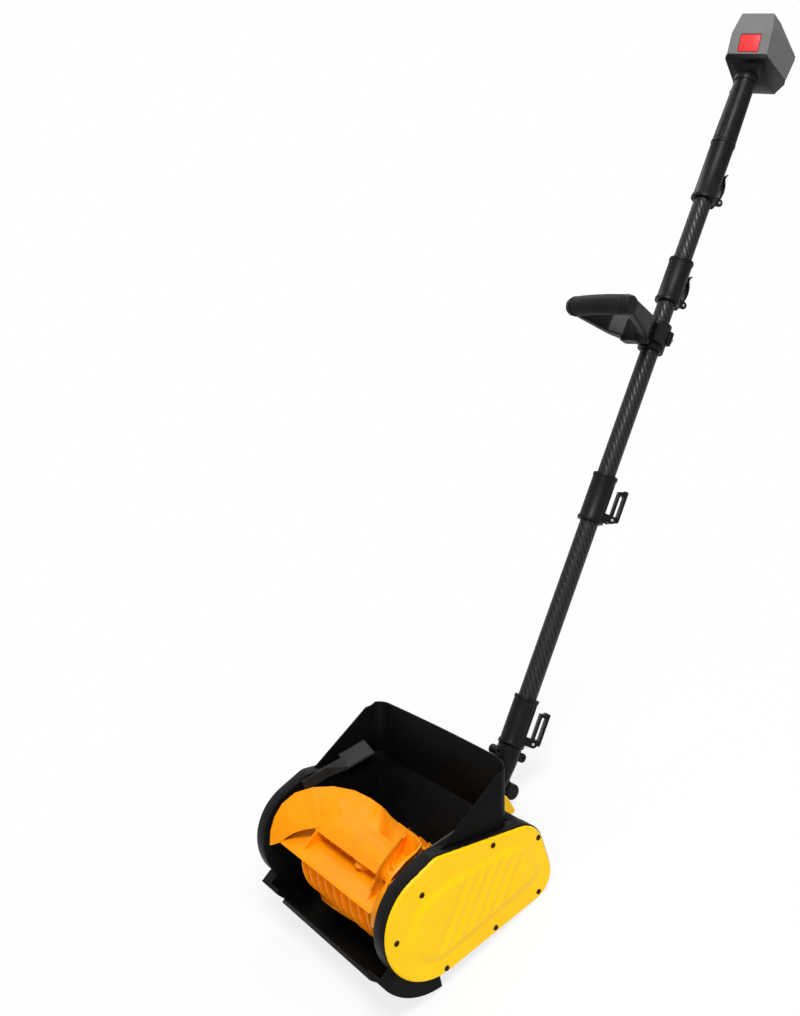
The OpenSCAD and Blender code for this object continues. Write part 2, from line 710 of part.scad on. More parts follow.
module middle_sleeve() color("#121212") sleeve(middle_s, sleeve_len, low_turn, low_pin);
module upper_sleeve() color("#121212") sleeve(upper_s, upper_top - upper_s, high_turn, high_pin);
module grip_sleeve() color("#121212") sleeve(grip_sleeve_s, grip_sleeve_len, high_turn, high_pin);

// Cam lever of the lower clamps: hub on the pin and a long loop to pull on
module loop_lever(s) {
    w = 2 * (lever_x - gap);
    on_clamp(s, low_turn) translate([-w / 2, low_pin[0], low_pin[1]]) difference() {
        union() {
            rotate([0, 90, 0]) cylinder(h = w, r = 5.4);
            translate([0, -1.5, 0]) cube([w, 3, lever_len]);
            translate([0, 8.5, 3]) cube([w, 4, lever_len]);
            translate([0, 0, -1]) cube([w, 12, 4]);
            translate([0, -1, lever_len - 5]) cube([w, 12, 5]);
            for (y = [[8, 3], [8, lever_len - 1]]) translate([0, y[0], y[1]]) rotate([0, 90, 0])
                cylinder(h = w, r = 4.5);
        }
        translate([-10, 0, 0]) rotate([0, 90, 0]) cylinder(h = 40, r = lever_pin_r + run);
    }
}
module lower_lever() color("#0e0e0e") loop_lever(0);
module middle_lever() color("#0e0e0e") loop_lever(middle_s);

// Cam lever of the upper clamps: a thin bowed blade with a finger tip
bow = [[-1, 3], [2.6, 12], [3.6, 22], [2, 32], [-2, 41], [-1.4, 46], [1.6, 50]];
module bow_lever(s) {
    w = 2 * (lever_x - gap);
    on_clamp(s, high_turn) translate([-w / 2, high_pin[0], high_pin[1]]) difference() {
        union() {
            rotate([0, 90, 0]) cylinder(h = w, r = 4);
            rotate([90, 0, 90]) linear_extrude(w) polygon(concat(
                [for (q = bow) [q[0] - 1.4, q[1]]], [for (i = [6:-1:0]) [bow[i][0] + 1.4, bow[i][1]]]
            ));
        }
        translate([-10, 0, 0]) rotate([0, 90, 0]) cylinder(h = 40, r = lever_pin_r + run);
    }
}
module upper_lever() color("#0e0e0e") bow_lever(upper_s);
module grip_lever() color("#0e0e0e") bow_lever(grip_sleeve_s);

module lever_pin(s, turn, pin) {
    on_clamp(s, turn) translate([-lever_x - 4, pin[0], pin[1]]) rotate([0, 90, 0])
        cylinder(h = 2 * lever_x + 8, r = lever_pin_r);
}
module lever_pins() color("#9a9ca1") {
    for (s = [0, middle_s]) lever_pin(s, low_turn, low_pin);
    for (s = [upper_s, grip_sleeve_s]) lever_pin(s, high_turn, high_pin);
}

// Inner plugs that line the tubes up inside the sleeves
module tube_joiners() color("#2a2a2c") for (s = [middle_s + 12, upper_s + 10]) on_pole(s) difference() {
    cylinder(h = 52, r = tube_d / 2 - tube_wall);
    translate([0, 0, -1]) cylinder(h = 60, r = tube_d / 2 - tube_wall - 3);
}

// ---- D-handle, clamped on the middle tube ----

clamp_r = 20;
module clamp_bracket() color("#141414") on_pole(clamp_s) difference() {
    union() {
        translate([0, 0, -clamp_len / 2]) cylinder(h = clamp_len, r = clamp_r);
        translate([-26, -clamp_r - 8, -frame_t / 2 - 4]) cube([52, clamp_r + 8, frame_t + 8]);
    }
    translate([-40, gap, -40]) cube([80, 40, 80]);
    translate([0, 0, -40]) cylinder(h = 80, r = tube_d / 2 + run);
    for (x = [-22, 22]) translate([x, -60, 0]) rotate([-90, 0, 0]) cylinder(h = 80, r = 2.5);
}
module clamp_back() color("#141414") on_pole(clamp_s) difference() {
    union() {
        translate([0, 0, -clamp_len / 2]) cylinder(h = clamp_len, r = clamp_r);
        translate([-28, 0, -11]) cube([56, 9, 22]);
    }
    translate([-40, -80 + 2 * gap, -40]) cube([80, 80, 80]);
    translate([0, 0, -40]) cylinder(h = 80, r = tube_d / 2 + run);
    for (x = [-22, 22]) translate([x, -60, 0]) rotate([-90, 0, 0]) cylinder(h = 80, r = 2.5);
}
module clamp_bolts() color("#9a9ca1") on_pole(clamp_s) for (x = [-22, 22]) translate([x, 0, 0]) {
    translate([0, -24, 0]) rotate([-90, 0, 0]) cylinder(h = 33.1, r = 2.5);
    translate([0, 9, 0]) rotate([-90, 0, 0]) difference() {
        cylinder(h = 4, r = 4.6);
        translate([0, 0, 2]) cylinder(h = 3, r = 2, $fn = 6);
    }
}

// Places something on the bowed bar, at an angle from its middle
module on_bow(a) {
    translate([0, bow_r - bar_f, bar_s]) rotate([0, 0, a]) translate([0, -bow_r, 0]) children();
}
module bow_rod(a, r) {
    translate([0, bow_r - bar_f, bar_s]) rotate([0, 0, -90 - a]) rotate_extrude(angle = 2 * a)
        translate([bow_r, 0]) circle(r = r);
}

// Loop of the D-handle: arms that spread from the clamp to the bowed bar
module d_frame() color("#181818") on_pole(clamp_s) {
    translate([-19, -clamp_r - 14, -frame_t / 2 - 3]) cube([38, 6 - gap, frame_t + 6]);
    hull() {
        translate([-21, -46, -24]) cube([42, 17.5, 38]);
        translate([-15, -54, -29]) cube([30, 14, 34]);
    }
    both_sides() {
        hull() {
            translate([8, -50, -22]) cube([13, 18, 37]);
            translate([30, -70, -21]) cube([9, 14, 30]);
        }
        hull() {
            translate([30, -70, -21]) cube([9, 14, 30]);
            on_bow(bow_a + 0.6) translate([2, -9, -frame_t / 2]) cube([7, 18, frame_t]);
        }
        for (i = [0:3]) on_bow(bow_a + 0.3 + 0.42 * i) rotate([0, 90, 0])
            cylinder(h = 1.8, r = foam_r + 0.6 - i * 0.6, center = true);
        on_bow(bow_a + 0.9) rotate([0, 90, 0]) cylinder(h = 10, r = foam_r - 2, center = true);
    }
    bow_rod(bow_a + 1, bar_r);
}

module foam_grip() color("#1a1a1a") on_pole(clamp_s) difference() {
    bow_rod(bow_a, foam_r);
    bow_rod(bow_a + 0.5, bar_r + run);
}

// ---- Handle ----

module grip_body() {
    difference() {
        union() {
            cylinder(h = grip_len, r1 = grip_d2 / 2, r2 = grip_d / 2);
            translate([0, 0, -42]) cylinder(h = 43, r = tube_d / 2);
            translate([0, 0, grip_len - 8]) cylinder(h = 12, r = grip_d / 2 + 2);
        }
        translate([0, 0, -50]) cylinder(h = 60, r = tube_d / 2 - 3.5);
        translate([-8.2, -6, 10]) cube([16.4, 17, grip_len - 16]);
        // opening for the trigger on the underside
        translate([-6.2, 0, 34]) cube([12.4, 40, 65]);
        // opening for the lock button on the side
        translate([0, 0, 88]) rotate([0, -90, 0]) cylinder(h = 40, r = 5.6);
        translate([-30, 12, 94]) rotate([0, 90, 0]) cylinder(h = 60, r = 1.5);
    }
}
module grip_left() color("#161616") on_handle(grip_s) intersection() {
    grip_body();
    translate([run, -60, -60]) cube([80, 120, 260]);
}
module grip_right() color("#161616") on_handle(grip_s) intersection() {
    grip_body();
    translate([-80 - run, -60, -60]) cube([80, 120, 260]);
}

// Trigger, hinged at its top and pressed toward the grip
module trigger() color("#232323") on_handle(grip_s) difference() {
    union() {
        translate([-5.8, 12, 94]) rotate([0, 90, 0]) cylinder(h = 11.6, r = 4);
        translate([-5.8, 11.6, 38]) cube([11.6, 11.4, 50]);
        translate([-5.8, 11.6, 86]) cube([11.6, 4, 8]);
    }
    translate([-20, 12, 94]) rotate([0, 90, 0]) cylinder(h = 40, r = 1.5 + run);
    for (i = [0:2]) translate([-10, 28, 48 + 12 * i]) rotate([0, 90, 0]) cylinder(h = 20, r = 7);
}
module trigger_pin() color("#9a9ca1") on_handle(grip_s)
    translate([-11.5, 12, 94]) rotate([0, 90, 0]) cylinder(h = 23, r = 1.5);
module trigger_switch() color("#2b2b2d") on_handle(grip_s) {
    translate([-8, -5.7, 40]) cube([16, 10, 34]);
    translate([-3, 4.2, 54]) cube([6, 2, 6]);
}
module lock_button() color("#1d1d1d") on_handle(grip_s) translate([-13, 0, 88]) rotate([0, -90, 0]) {
    cylinder(h = 4.6, r = 5.3);
    translate([0, 0, -3]) cylinder(h = 3.1, r = 4);
}

// Flared seat between the grip and the battery
seat_z = 26;
seat_front = -27;
module battery_seat() color("#151515") {
    difference() {
        union() {
            on_seat() hull() {
                translate([-batt_w / 2 - 1, seat_front - 1, seat_z - 7]) cube([batt_w + 2, batt_l - 2, 7]);
                translate([-batt_w / 2 + 4, 25, -4]) cube([batt_w - 8, 44, 6]);
            }
            hull() {
                on_handle(seat_s) cylinder(h = 3, r = grip_d / 2 + 1, $fn = hull_fn);
                on_seat() translate([-batt_w / 2 + 8, seat_front + 6, 17]) cube([batt_w - 16, 58, 4]);
            }
        }
        on_seat() translate([-15, seat_front + 12, seat_z - 6]) cube([30, batt_l - 40, 12]);
    }
    // rails that the battery slides on
    on_seat() both_sides() {
        translate([15.5, seat_front + 10, seat_z - 1]) cube([4, batt_l - 34, 6.5]);
        translate([15.5, seat_front + 10, seat_z + 3]) cube([8, batt_l - 34, 2.5]);
    }
}
module contact_block() color("#c9cbd0") on_seat() {
    translate([-12, seat_front + 42, seat_z - 6]) cube([24, 34, 6]);
    for (x = [-9, 0, 9]) translate([x - 0.5, seat_front + 46, seat_z - 1]) cube([1, 26, 5]);
}

// Battery: sloping top, slanted rear and a rail groove underneath
batt_z = seat_z + gap;
button_h = 27;
module battery_case() color("#6b6b69") on_seat() translate([0, seat_front, batt_z]) difference() {
    hull() {
        translate([-batt_w / 2, 0, 0]) cube([batt_w, batt_l, 3]);
        translate([-batt_w / 2, 0, 3]) cube([batt_w, batt_l, batt_h * 0.5 - 3]);
        translate([-batt_w / 2 + 1, 30, batt_h * 0.6]) cube([batt_w - 2, batt_l - 7, batt_h * 0.12]);
        translate([-batt_w / 2 + 6, 9, batt_h - 3]) cube([batt_w - 12, 40, 3]);
    }
    translate([-16 - 8.4, 8.8, -1]) cube([2 * (16 + 8.4), batt_l, 7.2]);
    translate([-16.3, -1, 3.7]) cube([32.6, 9, button_h]);
}
module battery_button() color("#d8352f") on_seat() translate([0, seat_front, batt_z]) {
    translate([-16, 0.4, 4]) cube([32, 5, button_h - 0.6]);
}

auger_trough();
scoop_hood();
snow_ledges();
left_side_box();
right_side_box();
left_cover();
right_cover();
cover_screws();
scraper_strip();
scraper_screws();
motor_housing();
motor_can();
motor_shaft();
drive_pulley();
driven_pulley();
drive_belt();
idler_roller();
idler_pin();
auger_shaft();
auger_rotor();
auger_bearings();
control_board();
tilt_yoke();
yoke_screws();
tilt_bolt();
neck_knuckle();
tilt_pawl();
pawl_pin();
pawl_spring();
lower_tube();
middle_tube();
upper_tube();
lower_sleeve();
middle_sleeve();
upper_sleeve();
grip_sleeve();
lower_lever();
middle_lever();
upper_lever();
grip_lever();
lever_pins();
tube_joiners();
clamp_bracket();
clamp_back();
clamp_bolts();
d_frame();
foam_grip();
grip_left();
grip_right();
trigger();
trigger_pin();
trigger_switch();
lock_button();
battery_seat();
contact_block();
battery_case();
battery_button();
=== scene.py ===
import math

import bpy
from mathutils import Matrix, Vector


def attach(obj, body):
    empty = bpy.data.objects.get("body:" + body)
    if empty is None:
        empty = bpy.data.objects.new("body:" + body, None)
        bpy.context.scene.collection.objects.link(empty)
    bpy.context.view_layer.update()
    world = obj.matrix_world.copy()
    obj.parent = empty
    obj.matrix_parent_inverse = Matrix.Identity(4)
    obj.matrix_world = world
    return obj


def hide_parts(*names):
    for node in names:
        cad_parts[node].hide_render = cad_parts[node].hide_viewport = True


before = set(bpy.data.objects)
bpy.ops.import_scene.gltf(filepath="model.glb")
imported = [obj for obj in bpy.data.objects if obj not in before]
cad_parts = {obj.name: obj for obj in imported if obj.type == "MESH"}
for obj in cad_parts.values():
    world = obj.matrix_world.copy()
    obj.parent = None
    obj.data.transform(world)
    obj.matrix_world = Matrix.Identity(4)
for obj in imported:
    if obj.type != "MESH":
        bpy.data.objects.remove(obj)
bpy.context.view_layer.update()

bpy.ops.object.select_all(action="DESELECT")
scene = bpy.context.scene

# The camera stands to the right of the head and a little above the middle of
# the pole, rolled so that the pole leans across the frame.
camera_data = bpy.data.cameras.new("camera")
camera_data.lens = 37.38
camera_data.sensor_width = 36.0
camera_data.clip_start = 0.05
camera_data.clip_end = 40.0
camera = bpy.data.objects.new("camera", camera_data)
camera.location = (1.11881, -0.32526, 1.04583)
camera.rotation_euler = (math.radians(65.694), math.radians(20.292), math.radians(52.125))
scene.collection.objects.link(camera)
scene.camera = camera

# The scoop hood is one black polypropylene moulding: a tall curved back and
# two wings. Its finish is the dull, finely sparked grain that all the black
# mouldings of the head share, so the grain group and the plastic are made here.
grain = bpy.data.node_groups.new("mould grain", "ShaderNodeTree")
grain.interface.new_socket(name="Vector", in_out="INPUT", socket_type="NodeSocketVector")
grain.interface.new_socket(name="Fineness", in_out="INPUT", socket_type="NodeSocketFloat")
grain.interface.new_socket(name="Patch size", in_out="INPUT", socket_type="NodeSocketFloat")
grain.interface.new_socket(name="Height", in_out="OUTPUT", socket_type="NodeSocketFloat")
grain.interface.new_socket(name="Tone", in_out="OUTPUT", socket_type="NodeSocketFloat")
grain.interface.new_socket(name="Scuff", in_out="OUTPUT", socket_type="NodeSocketFloat")
entry = grain.nodes.new("NodeGroupInput")
leave = grain.nodes.new("NodeGroupOutput")
spark = grain.nodes.new("ShaderNodeTexNoise")
spark.inputs["Detail"].default_value = 3.0
pebble = grain.nodes.new("ShaderNodeTexVoronoi")
pebble.feature = "SMOOTH_F1"
heap = grain.nodes.new("ShaderNodeMath")
heap.operation = "MULTIPLY_ADD"
heap.inputs[1].default_value = 0.45
cloud = grain.nodes.new("ShaderNodeTexNoise")
cloud.inputs["Detail"].default_value = 4.0
cloud.inputs["Roughness"].default_value = 0.62
drag = grain.nodes.new("ShaderNodeTexNoise")
drag.inputs["Scale"].default_value = 60.0
drag.inputs["Detail"].default_value = 5.0
drag.inputs["Distortion"].default_value = 1.4
stretch = grain.nodes.new("ShaderNodeMapping")
stretch.inputs["Scale"].default_value = (0.25, 2.6, 2.6)
nick = grain.nodes.new("ShaderNodeMapRange")
nick.inputs["From Min"].default_value = 0.6
nick.inputs["From Max"].default_value = 0.72
grain.links.new(entry.outputs["Vector"], spark.inputs["Vector"])
grain.links.new(entry.outputs["Vector"], pebble.inputs["Vector"])
grain.links.new(entry.outputs["Vector"], cloud.inputs["Vector"])
grain.links.new(entry.outputs["Vector"], stretch.inputs["Vector"])
grain.links.new(stretch.outputs["Vector"], drag.inputs["Vector"])
grain.links.new(entry.outputs["Fineness"], spark.inputs["Scale"])
grain.links.new(entry.outputs["Fineness"], pebble.inputs["Scale"])
grain.links.new(entry.outputs["Patch size"], cloud.inputs["Scale"])
grain.links.new(pebble.outputs["Distance"], heap.inputs[0])
grain.links.new(spark.outputs["Fac"], heap.inputs[2])
grain.links.new(heap.outputs["Value"], leave.inputs["Height"])
grain.links.new(cloud.outputs["Fac"], leave.inputs["Tone"])
grain.links.new(drag.outputs["Fac"], nick.inputs["Value"])
grain.links.new(nick.outputs["Result"], leave.inputs["Scuff"])


def moulded_plastic(
    name, dark, light, rough, specular,
    fineness=900.0, patch=14.0, depth=0.06, scuffed=0.0, scuff=(0.2, 0.2, 0.2),
):
    """A plastic whose colour drifts between two tones, with moulded grain and light scuffs."""
    material = bpy.data.materials.new(name)
    material.use_nodes = True
    nodes, links = material.node_tree.nodes, material.node_tree.links
    shader = nodes["Principled BSDF"]
    place = nodes.new("ShaderNodeTexCoord")
    skin = nodes.new("ShaderNodeGroup")
    skin.node_tree = grain
    skin.inputs["Fineness"].default_value = fineness
    skin.inputs["Patch size"].default_value = patch
    spread = nodes.new("ShaderNodeMapRange")
    spread.inputs["From Min"].default_value = 0.35
    spread.inputs["From Max"].default_value = 0.65
    tone = nodes.new("ShaderNodeMix")
    tone.data_type = "RGBA"
    tone.inputs["A"].default_value = (*dark, 1)
    tone.inputs["B"].default_value = (*light, 1)
    worn = nodes.new("ShaderNodeMath")
    worn.operation = "MULTIPLY"
    worn.inputs[1].default_value = scuffed
    rubbed = nodes.new("ShaderNodeMix")
    rubbed.data_type = "RGBA"
    rubbed.inputs["B"].default_value = (*scuff, 1)
    sheen = nodes.new("ShaderNodeMapRange")
    sheen.inputs["To Min"].default_value = rough - 0.05
    sheen.inputs["To Max"].default_value = rough + 0.07
    relief = nodes.new("ShaderNodeBump")
    relief.inputs["Strength"].default_value = depth
    relief.inputs["Distance"].default_value = 0.0004
    links.new(place.outputs["Object"], skin.inputs["Vector"])
    links.new(skin.outputs["Tone"], spread.inputs["Value"])
    links.new(spread.outputs["Result"], tone.inputs["Factor"])
    links.new(skin.outputs["Scuff"], worn.inputs[0])
    links.new(worn.outputs["Value"], rubbed.inputs["Factor"])
    links.new(tone.outputs["Result"], rubbed.inputs["A"])
    links.new(rubbed.outputs["Result"], shader.inputs["Base Color"])
    links.new(spread.outputs["Result"], sheen.inputs["Value"])
    links.new(sheen.outputs["Result"], shader.inputs["Roughness"])
    links.new(skin.outputs["Height"], relief.inputs["Height"])
    links.new(relief.outputs["Normal"], shader.inputs["Normal"])
    shader.inputs["Specular IOR Level"].default_value = specular
    return material


def finish_node(node, material):
    """A CAD node keeps its shape and gets a new finish."""
    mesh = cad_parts[node].data
    mesh.materials.clear()
    mesh.materials.append(material)


merge_distance = 0.00002
flat_within = math.radians(0.6)


def eased_copy(node, body, material, ease, segments=2, corner=32.0, smooth=32.0):
    """A moulding with small rounds on its edges, made over a merged copy of the CAD node.

    With no ease the edges stay sharp and the facets are shaded evenly.
    """
    bpy.ops.object.select_all(action="DESELECT")
    piece = bpy.data.objects.new(node + "_eased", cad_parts[node].data.copy())
    scene.collection.objects.link(piece)
    bpy.context.view_layer.objects.active = piece
    piece.select_set(True)
    bpy.ops.object.mode_set(mode="EDIT")
    bpy.ops.mesh.select_all(action="SELECT")
    bpy.ops.mesh.remove_doubles(threshold=merge_distance)
    bpy.ops.mesh.dissolve_limited(angle_limit=flat_within)
    bpy.ops.object.mode_set(mode="OBJECT")
    if ease:
        edge = piece.modifiers.new("eased edges", "BEVEL")
        edge.width = ease
        edge.segments = segments
        edge.limit_method = "ANGLE"
        edge.angle_limit = math.radians(corner)
        edge.use_clamp_overlap = False
        bpy.ops.object.modifier_apply(modifier=edge.name)
    bpy.ops.object.shade_smooth_by_angle(angle=math.radians(smooth))
    if not ease:
        even = piece.modifiers.new("even shading", "WEIGHTED_NORMAL")
        even.keep_sharp = True
        bpy.ops.object.modifier_apply(modifier=even.name)
    piece.data.materials.clear()
    piece.data.materials.append(material)
    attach(piece, body)
    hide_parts(node)
    piece.select_set(False)
    return piece


shell_black = moulded_plastic(
    "shell black", (0.0016, 0.0016, 0.0014), (0.0034, 0.0034, 0.003), 0.5, 0.05,
    depth=0.08, scuffed=0.06, scuff=(0.02, 0.02, 0.019),
)
eased_copy("scoop_hood", "head", shell_black, 0.0006)

# The trough is the second black moulding: round floor, sloping back and the
# lip under the nose, rubbed a little where snow and grit run over it.
trough_black = moulded_plastic(
    "trough black", (0.0018, 0.0018, 0.0017), (0.0045, 0.0045, 0.0042), 0.42, 0.07,
    depth=0.07, scuffed=0.15, scuff=(0.025, 0.025, 0.025),
)
eased_copy("auger_trough", "head", trough_black, 0.0)

# Two sloping ledges are welded inside the wings and turn the snow inward. Their black
# is painted lighter than the walls that carry them, as painted light on their upward faces, with a
# few rubbed scuffs over it.
# The two base tones hold the painted light of the ledge tops; only the scuffs are wear.
painted_lit_ledge_black = moulded_plastic(
    "painted lit ledge black", (0.024, 0.024, 0.023), (0.034, 0.034, 0.033), 0.45, 0.15,
    depth=0.05, scuffed=0.2, scuff=(0.08, 0.08, 0.08),
)
finish_node("snow_ledges", painted_lit_ledge_black)

# The side boxes are black tubs that close both ends of the auger chamber and
# carry the bearings. Their walls are slightly glossier than the hood.
box_black = moulded_plastic(
    "box black", (0.0022, 0.0024, 0.0022), (0.005, 0.0052, 0.005), 0.4, 0.08,
    depth=0.06, scuffed=0.08, scuff=(0.025, 0.025, 0.025),
)
eased_copy("left_side_box", "head", box_black, 0.0008)
eased_copy("right_side_box", "head", box_black, 0.0008)

# The yellow covers are thick glossy mouldings with a soft raised panel and
# slanted flutes. A fine voxel skin over the CAD shape rounds every edge as the
# mould does, and the smoothing blends the flutes into the panel.
cover_yellow = moulded_plastic(
    "cover yellow", (0.96, 0.56, 0.0008), (1.0, 0.62, 0.0012), 0.36, 0.16,
    fineness=700.0, patch=9.0, depth=0.03, scuffed=0.04, scuff=(0.8, 0.42, 0.004),
)


def soft_moulding(node, body, material, voxel, rounds, keep):
    """A thick moulding with soft edges all over, remeshed from a merged copy of the CAD node."""
    bpy.ops.object.select_all(action="DESELECT")
    piece = bpy.data.objects.new(node + "_soft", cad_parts[node].data.copy())
    scene.collection.objects.link(piece)
    bpy.context.view_layer.objects.active = piece
    piece.select_set(True)
    bpy.ops.object.mode_set(mode="EDIT")
    bpy.ops.mesh.select_all(action="SELECT")
    bpy.ops.mesh.remove_doubles(threshold=merge_distance)
    bpy.ops.object.mode_set(mode="OBJECT")
    skin = piece.modifiers.new("voxel skin", "REMESH")
    skin.mode = "VOXEL"
    skin.voxel_size = voxel
    bpy.ops.object.modifier_apply(modifier=skin.name)
    blend = piece.modifiers.new("soft edges", "SMOOTH")
    blend.factor = 0.5
    blend.iterations = rounds
    bpy.ops.object.modifier_apply(modifier=blend.name)
    thin = piece.modifiers.new("fewer faces", "DECIMATE")
    thin.ratio = keep
    bpy.ops.object.modifier_apply(modifier=thin.name)
    bpy.ops.object.shade_smooth()
    piece.data.materials.clear()
    piece.data.materials.append(material)
    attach(piece, body)
    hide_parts(node)
    piece.select_set(False)
    return piece


soft_moulding("left_cover", "head", cover_yellow, 0.0010, 14, 0.4)
soft_moulding("right_cover", "head", cover_yellow, 0.0010, 14, 0.4)


# Screws, pins and bolts are steel, blackened on the head and bare on the pole.
# The wear shows as lighter, smoother patches.
def steel(name, dark, light, rough, patch=120.0):
    """Metal whose tone and roughness drift, with a fine turned grain."""
    material = bpy.data.materials.new(name)
    material.use_nodes = True
    nodes, links = material.node_tree.nodes, material.node_tree.links
    shader = nodes["Principled BSDF"]
    place = nodes.new("ShaderNodeTexCoord")
    skin = nodes.new("ShaderNodeGroup")
    skin.node_tree = grain
    skin.inputs["Fineness"].default_value = 2600.0
    skin.inputs["Patch size"].default_value = patch
    tone = nodes.new("ShaderNodeMix")
    tone.data_type = "RGBA"
    tone.inputs["A"].default_value = (*dark, 1)
    tone.inputs["B"].default_value = (*light, 1)
    sheen = nodes.new("ShaderNodeMapRange")
    sheen.inputs["To Min"].default_value = rough + 0.12
    sheen.inputs["To Max"].default_value = rough - 0.05
    relief = nodes.new("ShaderNodeBump")
    relief.inputs["Strength"].default_value = 0.05
    relief.inputs["Distance"].default_value = 0.0002
    links.new(place.outputs["Object"], skin.inputs["Vector"])
    links.new(skin.outputs["Tone"], tone.inputs["Factor"])
    links.new(tone.outputs["Result"], shader.inputs["Base Color"])
    links.new(skin.outputs["Tone"], sheen.inputs["Value"])
    links.new(sheen.outputs["Result"], shader.inputs["Roughness"])
    links.new(skin.outputs["Height"], relief.inputs["Height"])
    links.new(relief.outputs["Normal"], shader.inputs["Normal"])
    shader.inputs["Metallic"].default_value = 1.0
    return material


screw_black = steel("blackened screw", (0.02, 0.012, 0.006), (0.07, 0.045, 0.025), 0.45)
pin_steel = steel("bright pin", (0.42, 0.43, 0.44), (0.66, 0.67, 0.68), 0.28)
for node in ("cover_screws", "scraper_screws", "yoke_screws"):
    finish_node(node, screw_black)
for node in ("tilt_bolt", "pawl_pin", "lever_pins", "clamp_bolts", "trigger_pin", "idler_pin"):
    finish_node(node, pin_steel)

# The scraper strip is a wear plate screwed under the lip: black, scratched
# along its length by the ground.
strip_black = moulded_plastic(
    "strip black", (0.004, 0.004, 0.004), (0.009, 0.009, 0.0085), 0.34, 0.14,
    fineness=500.0, depth=0.08, scuffed=0.3, scuff=(0.05, 0.05, 0.048),
)
eased_copy("scraper_strip", "head", strip_black, 0.0005)

# The motor housing closes the head behind the trough: a black box moulding
# with rounded corners, screwed to the side boxes.
eased_copy("motor_housing", "head", shell_black, 0.0012, 3)

# Inside the head: a drawn steel motor can, ground shafts, cast pulleys with a
# rubber belt, steel bearings and the green control board.
can_steel = steel("drawn can", (0.30, 0.31, 0.32), (0.48, 0.49, 0.5), 0.34, 40.0)
finish_node("motor_can", can_steel)
shaft_steel = steel("ground shaft", (0.5, 0.51, 0.52), (0.68, 0.69, 0.7), 0.2, 60.0)
for node in ("motor_shaft", "auger_shaft"):
    finish_node(node, shaft_steel)
cast_grey = steel("cast pulley", (0.36, 0.36, 0.37), (0.5, 0.5, 0.51), 0.46, 70.0)
for node in ("drive_pulley", "driven_pulley", "idler_roller"):
    finish_node(node, cast_grey)
finish_node("auger_bearings", shaft_steel)
belt_rubber = moulded_plastic(
    "belt rubber", (0.012, 0.012, 0.012), (0.02, 0.02, 0.021), 0.72, 0.3,
    fineness=1600.0, depth=0.2,
)
finish_node("drive_belt", belt_rubber)
board_green = moulded_plastic(
    "board green", (0.006, 0.07, 0.022), (0.01, 0.11, 0.035), 0.36, 0.5,
    fineness=2200.0, patch=60.0, depth=0.05,
)
finish_node("control_board", board_green)

# The auger rotor is a single orange moulding: thin blades, a shelf and ribs
# on a hub. Its facets are shaded as one curved skin.
rotor_orange = moulded_plastic(
    "rotor orange", (0.95, 0.29, 0.0008), (1.0, 0.34, 0.0012), 0.42, 0.16,
    fineness=650.0, patch=12.0, depth=0.05, scuffed=0.08, scuff=(0.72, 0.2, 0.004),
)
eased_copy("auger_rotor", "auger", rotor_orange, 0.0, smooth=38.0)

# The tilt yoke is the yellow moulded wedge screwed to the back of the head; the
# neck swings between its cheeks.
yoke_yellow = moulded_plastic(
    "yoke yellow", (0.92, 0.52, 0.001), (0.98, 0.58, 0.0015), 0.36, 0.18,
    fineness=700.0, depth=0.05, scuffed=0.15, scuff=(0.7, 0.34, 0.006),
)
eased_copy("tilt_yoke", "head", yoke_yellow, 0.0012, 3)

# The neck is a black moulding with a collar. Its pedal and the steel spring
# under the pedal lock the tilt.
joint_black = moulded_plastic(
    "joint black", (0.0024, 0.0024, 0.0024), (0.006, 0.006, 0.006), 0.36, 0.12,
    fineness=1000.0, patch=30.0, depth=0.05, scuffed=0.08, scuff=(0.03, 0.03, 0.03),
)
eased_copy("neck_knuckle", "pole", joint_black, 0.0010, 3)
eased_copy("tilt_pawl", "pedal", joint_black, 0.0010, 3)
finish_node("pawl_spring", pin_steel)

# The three tubes carry a printed twill under clear lacquer. The print is laid
# out along the tube: steep broken bands that wind round it, darker and
# lighter in turn, each slightly raised.
pole_lean = math.radians(50.3)
pole_foot = Vector((0.0, 0.3163, 0.0875))
bands_round_tube = 11
bands_per_metre = 85.0
tows_per_metre = 260.0
tow_share = 0.16
twill = bpy.data.materials.new("twill tube")
twill.use_nodes = True
tn, tl = twill.node_tree.nodes, twill.node_tree.links
tube_shader = tn["Principled BSDF"]
lay = tn.new("ShaderNodeTexCoord")
along = tn.new("ShaderNodeMapping")
along.vector_type = "TEXTURE"
along.inputs["Location"].default_value = pole_foot
along.inputs["Rotation"].default_value = (-pole_lean, 0.0, 0.0)
split = tn.new("ShaderNodeSeparateXYZ")
turn = tn.new("ShaderNodeMath")
turn.operation = "ARCTAN2"
wind = tn.new("ShaderNodeMath")
wind.operation = "MULTIPLY"
wind.inputs[1].default_value = -bands_round_tube / math.tau
climb = tn.new("ShaderNodeMath")
climb.operation = "MULTIPLY_ADD"
climb.inputs[1].default_value = bands_per_metre
band = tn.new("ShaderNodeMath")
band.operation = "PINGPONG"
band.inputs[1].default_value = 0.5
cross = tn.new("ShaderNodeMath")
cross.operation = "MULTIPLY_ADD"
cross.inputs[1].default_value = tows_per_metre
tow = tn.new("ShaderNodeMath")
tow.operation = "PINGPONG"
tow.inputs[1].default_value = 0.5
weave = tn.new("ShaderNodeMath")
weave.operation = "MULTIPLY_ADD"
weave.inputs[1].default_value = tow_share
crest = tn.new("ShaderNodeMapRange")
crest.interpolation_type = "SMOOTHSTEP"
crest.inputs["From Min"].default_value = 0.24
crest.inputs["From Max"].default_value = 0.42
ink = tn.new("ShaderNodeMix")
ink.data_type = "RGBA"
ink.inputs["A"].default_value = (0.0015, 0.0016, 0.0015, 1)
ink.inputs["B"].default_value = (0.016, 0.017, 0.016, 1)
gloss = tn.new("ShaderNodeMapRange")
gloss.inputs["To Min"].default_value = 0.55
gloss.inputs["To Max"].default_value = 0.22
rise = tn.new("ShaderNodeBump")
rise.inputs["Strength"].default_value = 0.6
rise.inputs["Distance"].default_value = 0.0003
